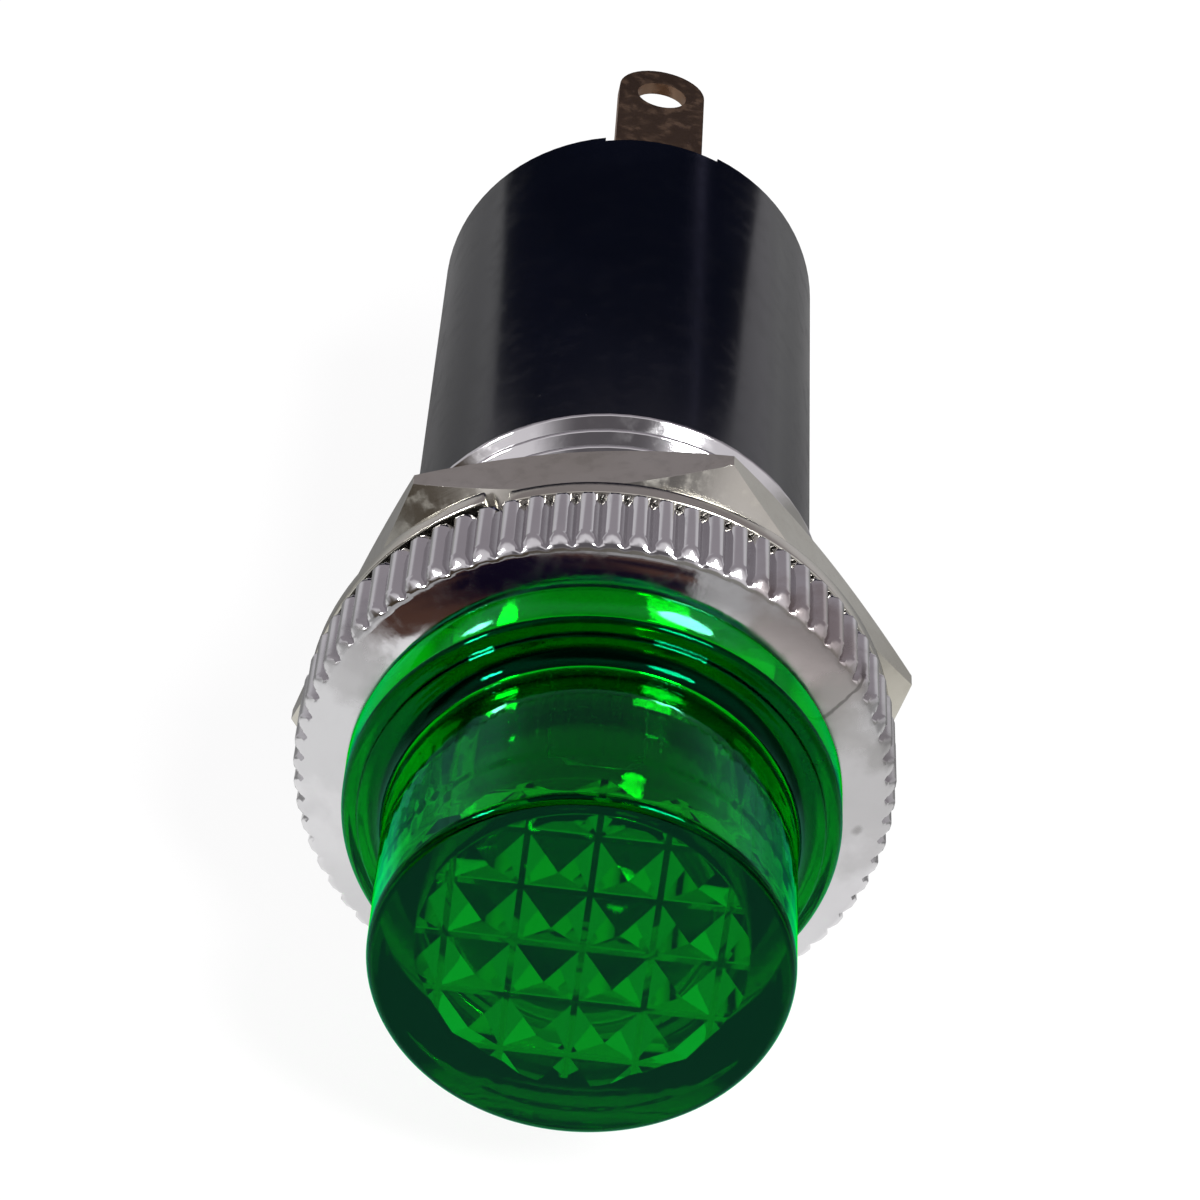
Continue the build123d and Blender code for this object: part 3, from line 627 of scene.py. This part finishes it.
def buildNut():
    front, rear, bore, cut = nut["front"], nut["rear"], nut["bore"], nut["boreChamfer"]
    corner = nut["flats"] / sqrt(3)
    flatFace = nut["chamferShare"] * nut["flats"]
    drop = (corner - flatFace) * tan(radians(nut["chamferAngle"]))
    bm = bmesh.new()
    drawOutline(bm, [
        (bore, front + cut, nut["boreRound"]), (bore + cut, front, nut["boreRound"]),
        (flatFace, front, nut["faceRound"]), (corner, front + drop), (corner, rear - drop),
        (flatFace, rear, nut["faceRound"]), (bore + cut, rear, nut["boreRound"]), (bore, rear - cut, nut["boreRound"]),
    ])
    turnOutline(bm, nut["steps"])
    for side in range(nut["sides"]):
        turn = radians(nut["turn"] + nut["sideTurn"] / 2 + nut["sideTurn"] * side)
        outward = Vector((cos(turn), 0, sin(turn)))
        cutOff = bmesh.ops.bisect_plane(bm, geom=bm.verts[:] + bm.edges[:] + bm.faces[:], dist=onPlane,
                                        plane_co=outward * nut["flats"] / 2, plane_no=outward, clear_outer=True)
        loop = [item for item in cutOff["geom_cut"] if isinstance(item, bmesh.types.BMEdge)]
        bmesh.ops.contextual_create(bm, geom=loop)
    bmesh.ops.remove_doubles(bm, verts=bm.verts, dist=weld)
    bmesh.ops.recalc_face_normals(bm, faces=bm.faces)
    flats = [face for face in bm.faces if len(face.verts) > nut["flatCorners"]]
    roundEdges(bm, list({edge for face in flats for edge in face.edges}), nut["edge"])
    return finishPiece(bm, "hexNutMilled", "nickel_plate", "nut", ("hex_nut",))


nutPiece = buildNut()
print("nut milled:", len(nutPiece.data.polygons), "faces")


washer = {
    "front": boxOf("lock_washer")[0].y, "inner": 8.2, "outer": 10.2, "thickness": 0.68, "rise": 0.42, "gap": 0.8, "split": 120.5,
    "edge": 0.1, "edgeAngle": 50, "steps": 140,
}


def buildWasher():
    inner, outer, steps = washer["inner"], washer["outer"], washer["steps"]
    low, high = washer["front"], washer["front"] + washer["thickness"]
    gapAngle = washer["gap"] / ((inner + outer) / 2)
    bm = bmesh.new()
    drawOutline(bm, [(inner, low), (outer, low), (outer, high), (inner, high)])
    bmesh.ops.contextual_create(bm, geom=bm.edges[:])
    bmesh.ops.spin(bm, geom=bm.faces[:], cent=(0, 0, 0), axis=lightAxis, dvec=(0, washer["rise"] / steps, 0),
                   angle=fullTurn - gapAngle, steps=steps)
    bmesh.ops.remove_doubles(bm, verts=bm.verts, dist=weld)
    bmesh.ops.recalc_face_normals(bm, faces=bm.faces)
    roundEdges(bm, sharpEdges(bm, washer["edgeAngle"]), washer["edge"])
    turn = Matrix.Rotation(gapAngle / 2 - radians(washer["split"]), 4, "Y")
    bmesh.ops.transform(bm, matrix=turn, verts=bm.verts)
    return finishPiece(bm, "lockWasherSplit", "nickel_plate", "washer", ("lock_washer",))


washerPiece = buildWasher()
print("washer coiled:", len(washerPiece.data.polygons), "faces")


lensLow, lensHigh = boxOf("lens_cap")
lens = {
    "frontFace": lensLow.y, "frontRound": (0.3, 6), "radius": 7.0, "rootRound": (0.7, 8), "frontWall": 1.0,
    "bore": 5.5, "flangeFront": -5.22, "flangeRadius": 8.5, "flangeRound": (0.3, 6), "seatRound": 0.08,
    "step": 0.22, "stepRadius": 7.95, "stepRounds": ((0.08, 3), (0.06, 3)),
    "seat": -3.27, "neckRadius": 6.45, "neckEnd": lensHigh.y, "neckRound": 0.1, "steps": 180, "sharpAngle": 28,
}
# the field of square pits inside the front: ridges with flat crests between them, and how far its helper solids reach
pits = {
    "pitch": 2.26, "height": 1.0, "depth": 0.9, "crest": 0.21, "turn": 4.5, "cells": 6,
    "blockBack": 1.5, "plugGap": 0.02, "plugFront": 0.2, "plugBack": 0.5, "sliver": 0.001,
}
pitFloor = lens["frontFace"] + lens["frontWall"]
ridgePlane = pitFloor + pits["height"]


def findVert(bm, x, y):
    return min(bm.verts, key=lambda vert: hypot(vert.co.x - x, vert.co.y - y))


def lensCup():
    radius, step, flange, neck = lens["radius"], lens["stepRadius"], lens["flangeRadius"], lens["neckRadius"]
    flangeFront, flangeFace = lens["flangeFront"], lens["flangeFront"] + lens["step"]
    cup = bmesh.new()
    drawOutline(cup, [
        (0, ridgePlane), (0, lens["frontFace"]), (radius, lens["frontFace"], *lens["frontRound"]),
        (radius, flangeFront, *lens["rootRound"]), (step, flangeFront, *lens["stepRounds"][0]),
        (step, flangeFace, *lens["stepRounds"][1]), (flange, flangeFace, *lens["flangeRound"]),
        (flange, lens["seat"], lens["seatRound"]), (neck, lens["seat"]), (neck, lens["neckEnd"], lens["neckRound"]),
        (lens["bore"], lens["neckEnd"], lens["neckRound"]), (lens["bore"], ridgePlane),
    ], closed=False)
    cup.edges.new((findVert(cup, lens["bore"], ridgePlane), findVert(cup, 0, ridgePlane)))
    turnOutline(cup, lens["steps"])
    return cup


# a block whose front is the pits' negative
def pitBlock():
    block = bmesh.new()
    half = pits["pitch"] * pits["cells"] / 2
    bmesh.ops.create_grid(block, x_segments=pits["cells"], y_segments=pits["cells"], size=half)
    cells = block.faces[:]
    grown = bmesh.ops.extrude_edge_only(block, edges=openEdges(block))["geom"]
    backRing = [item for item in grown if isinstance(item, bmesh.types.BMVert)]
    bmesh.ops.inset_individual(block, faces=cells, thickness=pits["crest"] / 2, use_even_offset=True)
    bmesh.ops.poke(block, faces=cells, offset=pits["depth"])
    bmesh.ops.translate(block, vec=(0, 0, -pits["blockBack"]), verts=backRing)
    bmesh.ops.holes_fill(block, edges=openEdges(block), sides=0)
    turn = Matrix.Rotation(radians(-pits["turn"]), 4, "Y") @ Matrix.Rotation(radians(90), 4, "X")
    bmesh.ops.transform(block, matrix=Matrix.Translation((0, ridgePlane, 0)) @ turn, verts=block.verts)
    bmesh.ops.recalc_face_normals(block, faces=block.faces)
    return block


# the bore's own cylinder, which trims the block
def pitPlug():
    plug = bmesh.new()
    front, back, radius = pitFloor - pits["plugFront"], ridgePlane + pits["plugBack"], lens["bore"] - pits["plugGap"]
    drawOutline(plug, [(0, back), (0, front), (radius, front), (radius, back)])
    turnOutline(plug, lens["steps"])
    return plug


def buildLens():
    cup = lensCup()
    field = combine(objectOf(pitBlock(), "pitBlock"), objectOf(pitPlug(), "pitPlug"), "INTERSECT")
    bm = combine(objectOf(cup, "lensCup"), objectOf(field, "pitField"), "DIFFERENCE")
    bmesh.ops.remove_doubles(bm, verts=bm.verts, dist=coarseWeld)
    bmesh.ops.dissolve_degenerate(bm, edges=bm.edges, dist=pits["sliver"])
    return finishPiece(bm, "lensMoulded", "green_lens", "lens", ("lens_cap",), sharp=lens["sharpAngle"])


lensPiece = buildLens()
print("lens moulded:", len(lensPiece.data.polygons), "faces")


springLow, springHigh = boxOf("contact_spring")
spring = {
    "wire": 0.45, "radius": 1.85, "turns": 5, "stepsPerTurn": 36, "around": 12, "sharpAngle": 60,
    "anchor": 26.3, "kept": 0.804,
}


# the spring that pushes the contact
def buildSpring():
    rise = springHigh.y - springLow.y - spring["wire"]
    steps = spring["turns"] * spring["stepsPerTurn"]
    bm = bmesh.new()
    bmesh.ops.create_circle(bm, cap_ends=True, segments=spring["around"], radius=spring["wire"] / 2)
    bmesh.ops.translate(bm, vec=(spring["radius"], springLow.y + spring["wire"] / 2, 0), verts=bm.verts)
    bmesh.ops.spin(bm, geom=bm.faces[:], cent=(0, 0, 0), axis=lightAxis, dvec=(0, rise / steps, 0),
                   angle=fullTurn * spring["turns"], steps=steps)
    bmesh.ops.remove_doubles(bm, verts=bm.verts, dist=weld)
    bmesh.ops.recalc_face_normals(bm, faces=bm.faces)
    piece = finishPiece(bm, "contactSpringCoiled", "spring_wire", "housing", ("contact_spring",),
                        sharp=spring["sharpAngle"])
    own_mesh(piece)
    return piece


springPiece = buildSpring()
print("spring coiled:", len(springPiece.data.polygons), "faces")


# CAD nodes that keep their shape get the finish of their slot
slotOf = {part["node"]: part["material_slot"] for part in frame["record"]["subparts"]}
for name, node in nodes.items():
    if not node.hide_render:
        node.data.materials.clear()
        node.data.materials.append(finishes[slotOf[name]])
print("CAD nodes finished")


# stage: a table whose glow falls with distance and lies in the light's shade behind it
table = {
    "drop": 0.0002, "half": 1.5, "paper": (0.9, 0.9, 0.9, 1), "shadowShare": 0.12,
    "glowReach": (0.03, 0.10), "glow": (1.0, 0.28), "shadeTurn": (0.004, 0.018), "shadeReach": (0.03, 0.2),
    "shadeGlow": (0.13, 0.50),
}
# the room that polished faces mirror: behind and in front, each by height, with the watcher's dark shape in front
room = {
    "backHigh": (0.36, 0.33, 0.36, 1), "backLow": (0.66, 0.64, 0.67, 1), "highTurn": (0.24, 0.46),
    "frontHigh": (0.85, 0.82, 0.85, 1), "frontLeft": (0.07, 0.052, 0.035, 1), "frontRight": (0.36, 0.355, 0.33, 1),
    "lowTurn": (0.12, 0.38), "sideTurn": (-0.4, 0.6), "frontTurn": (-0.45, 0.15),
    "watcher": (-0.09, -0.83, 0.55), "watcherEdge": (0.88, 0.97), "watcherColour": (0.13, 0.12, 0.13, 1),
}
cardLook = {"detail": 3.0, "edge": (0.4, 0.6)}
cards = {
    "frontCard": {
        "corners": ((-26, -38, -10.3), (6, -38, -10.3), (60, -320, -10.3), (-120, -320, -10.3)),
        "colour": (0.003, 0.002, 0.007, 1), "second": (0.050, 0.025, 0.018, 1), "patch": 14.0},
    "backFlag": {
        "corners": ((-17, 50, 2.5), (-30, 50, 6), (-28, 50, 22), (-18, 50, 29), (-4, 50, 33.5), (12, 50, 31),
                    (22, 50, 25), (24.5, 50, 17), (15, 50, 8)),
        "colour": (0.001, 0.002, 0.005, 1), "second": (0.004, 0.004, 0.010, 1), "patch": 20.0},
    "backStrip": {
        "corners": ((6, 49.9, 15), (7.2, 49.9, 14.3), (17.6, 49.9, 26.6), (16.2, 49.9, 27.4)),
        "colour": (0.10, 0.10, 0.16, 1), "second": (0.16, 0.16, 0.24, 1), "patch": 60.0},
}


def buildTable():
    mat, tree = newMaterial("whiteSheet")
    path = addNode(tree, "ShaderNodeLightPath")
    seen = mathNode(tree, "MAXIMUM", path.outputs["Is Camera Ray"], path.outputs["Is Glossy Ray"])
    seen = mathNode(tree, "MAXIMUM", seen, path.outputs["Is Transmission Ray"])
    place = objectPlace(tree)
    distance = addNode(tree, "ShaderNodeVectorMath", {0: place}, operation="LENGTH").outputs["Value"]
    glow = spread(tree, distance, *table["glowReach"], *table["glow"])
    shade = spread(tree, distance, *table["shadeReach"], *table["shadeGlow"])
    split = addNode(tree, "ShaderNodeSeparateXYZ", {"Vector": place})
    glow = blendColours(tree, spread(tree, split.outputs["Y"], *table["shadeTurn"]), glow, shade)
    strength = mathNode(tree, "MAXIMUM", glow, mathNode(tree, "SUBTRACT", 1.0, path.outputs["Is Glossy Ray"]))
    white = addNode(tree, "ShaderNodeEmission", {"Color": (1, 1, 1, 1), "Strength": strength})
    paper = addNode(tree, "ShaderNodeBsdfDiffuse", {"Color": table["paper"]})
    share = mathNode(tree, "MULTIPLY", seen, 1 - table["shadowShare"])
    mix = addNode(tree, "ShaderNodeMixShader", {0: share, 1: paper.outputs["BSDF"], 2: white.outputs["Emission"]})
    addNode(tree, "ShaderNodeOutputMaterial", {"Surface": mix.outputs["Shader"]})
    bm = bmesh.new()
    bmesh.ops.create_grid(bm, x_segments=1, y_segments=1, size=table["half"])
    floor = objectOf(bm, "whiteSheet")
    floor.location.z = cadLow.z - table["drop"]
    floor.data.materials.append(mat)


# a dark card in front, and a dark card and a pale strip behind, seen only in polished faces
def buildCards():
    for name, card in cards.items():
        mat, tree = newMaterial(name)
        patch = addNode(tree, "ShaderNodeTexNoise", {
            "Vector": objectPlace(tree), "Scale": card["patch"], "Detail": cardLook["detail"],
        })
        share = spread(tree, patch.outputs["Fac"], *cardLook["edge"])
        shade = blendColours(tree, share, card["colour"], card["second"])
        finishSurface(tree, addNode(tree, "ShaderNodeBsdfDiffuse", {"Color": shade}))
        bm = bmesh.new()
        corners = [bm.verts.new(Vector(corner) * mm) for corner in card["corners"]]
        bmesh.ops.contextual_create(bm, geom=corners)
        piece = objectOf(bm, name)
        piece.data.materials.append(mat)
        piece.visible_camera = piece.visible_diffuse = piece.visible_transmission = piece.visible_shadow = False


# white to the camera and through the lens, and the toned room to everything else
def buildRoom():
    world = bpy.data.worlds.new("room")
    scene.world = world
    world.use_nodes = True
    tree = world.node_tree
    tree.nodes.clear()
    direction = addNode(tree, "ShaderNodeTexCoord").outputs["Generated"]
    split = addNode(tree, "ShaderNodeSeparateXYZ", {"Vector": direction})
    across, along, height = split.outputs["X"], split.outputs["Y"], split.outputs["Z"]
    behind = blendColours(tree, spread(tree, height, *room["highTurn"]), room["backLow"], room["backHigh"])
    low = blendColours(tree, spread(tree, across, *room["sideTurn"]), room["frontLeft"], room["frontRight"])
    ahead = blendColours(tree, spread(tree, height, *room["lowTurn"]), low, room["frontHigh"])
    toward = addNode(tree, "ShaderNodeVectorMath", {0: direction, 1: room["watcher"]}, operation="DOT_PRODUCT")
    ahead = blendColours(tree, spread(tree, toward.outputs["Value"], *room["watcherEdge"]), ahead,
                         room["watcherColour"])
    toned = blendColours(tree, spread(tree, along, *room["frontTurn"]), ahead, behind)
    path = addNode(tree, "ShaderNodeLightPath")
    seen = mathNode(tree, "MAXIMUM", path.outputs["Is Camera Ray"], path.outputs["Is Transmission Ray"])
    colour = blendColours(tree, seen, toned, (1, 1, 1, 1))
    back = addNode(tree, "ShaderNodeBackground", {"Color": colour, "Strength": 1.0})
    addNode(tree, "ShaderNodeOutputWorld", {"Surface": back.outputs["Background"]})


lampTarget = Vector((0, 0.012, 0))
lamps = {
    "right": {"at": (0.176, -0.265, 0.388), "size": 0.17, "power": 3.0, "colour": (1, 1, 1)},
    "left": {"at": (-0.37, -0.235, 0.23), "size": 0.08, "power": 1.8, "colour": (1, 1, 1)},
}


def buildLamps():
    for name, lamp in lamps.items():
        data = bpy.data.lights.new(name, "AREA")
        data.shape, data.size, data.energy, data.color = "DISK", lamp["size"], lamp["power"], lamp["colour"]
        obj = bpy.data.objects.new(name, data)
        obj.location = lamp["at"]
        obj.rotation_mode = "QUATERNION"
        obj.rotation_quaternion = (lampTarget - Vector(lamp["at"])).to_track_quat("-Z", "Y")
        scene.collection.objects.link(obj)


# the photograph's camera, from a fit to the outlines of the round parts
camera = {
    "lens": 134.1, "sensor": 36.0, "clip": (0.005, 10), "at": (-12.21, -125.79, 90.34),
    "looking": (0.07369, 0.82762, -0.55649), "up": (-0.17934, 0.5599, 0.80895),
}


def buildCamera():
    data = bpy.data.cameras.new("photoCamera")
    data.lens, data.sensor_width, data.sensor_fit = camera["lens"], camera["sensor"], "HORIZONTAL"
    data.clip_start, data.clip_end = camera["clip"]
    obj = bpy.data.objects.new("photoCamera", data)
    back = -Vector(camera["looking"]).normalized()
    up = Vector(camera["up"]).normalized()
    right = up.cross(back).normalized()
    up = back.cross(right)
    turn = Matrix((right, up, back)).transposed().to_4x4()
    obj.matrix_world = Matrix.Translation(Vector(camera["at"]) * mm) @ turn
    scene.collection.objects.link(obj)
    scene.camera = obj


buildTable()
buildCards()
buildRoom()
buildLamps()
buildCamera()
scene.view_settings.view_transform = "Standard"
print("stage set")
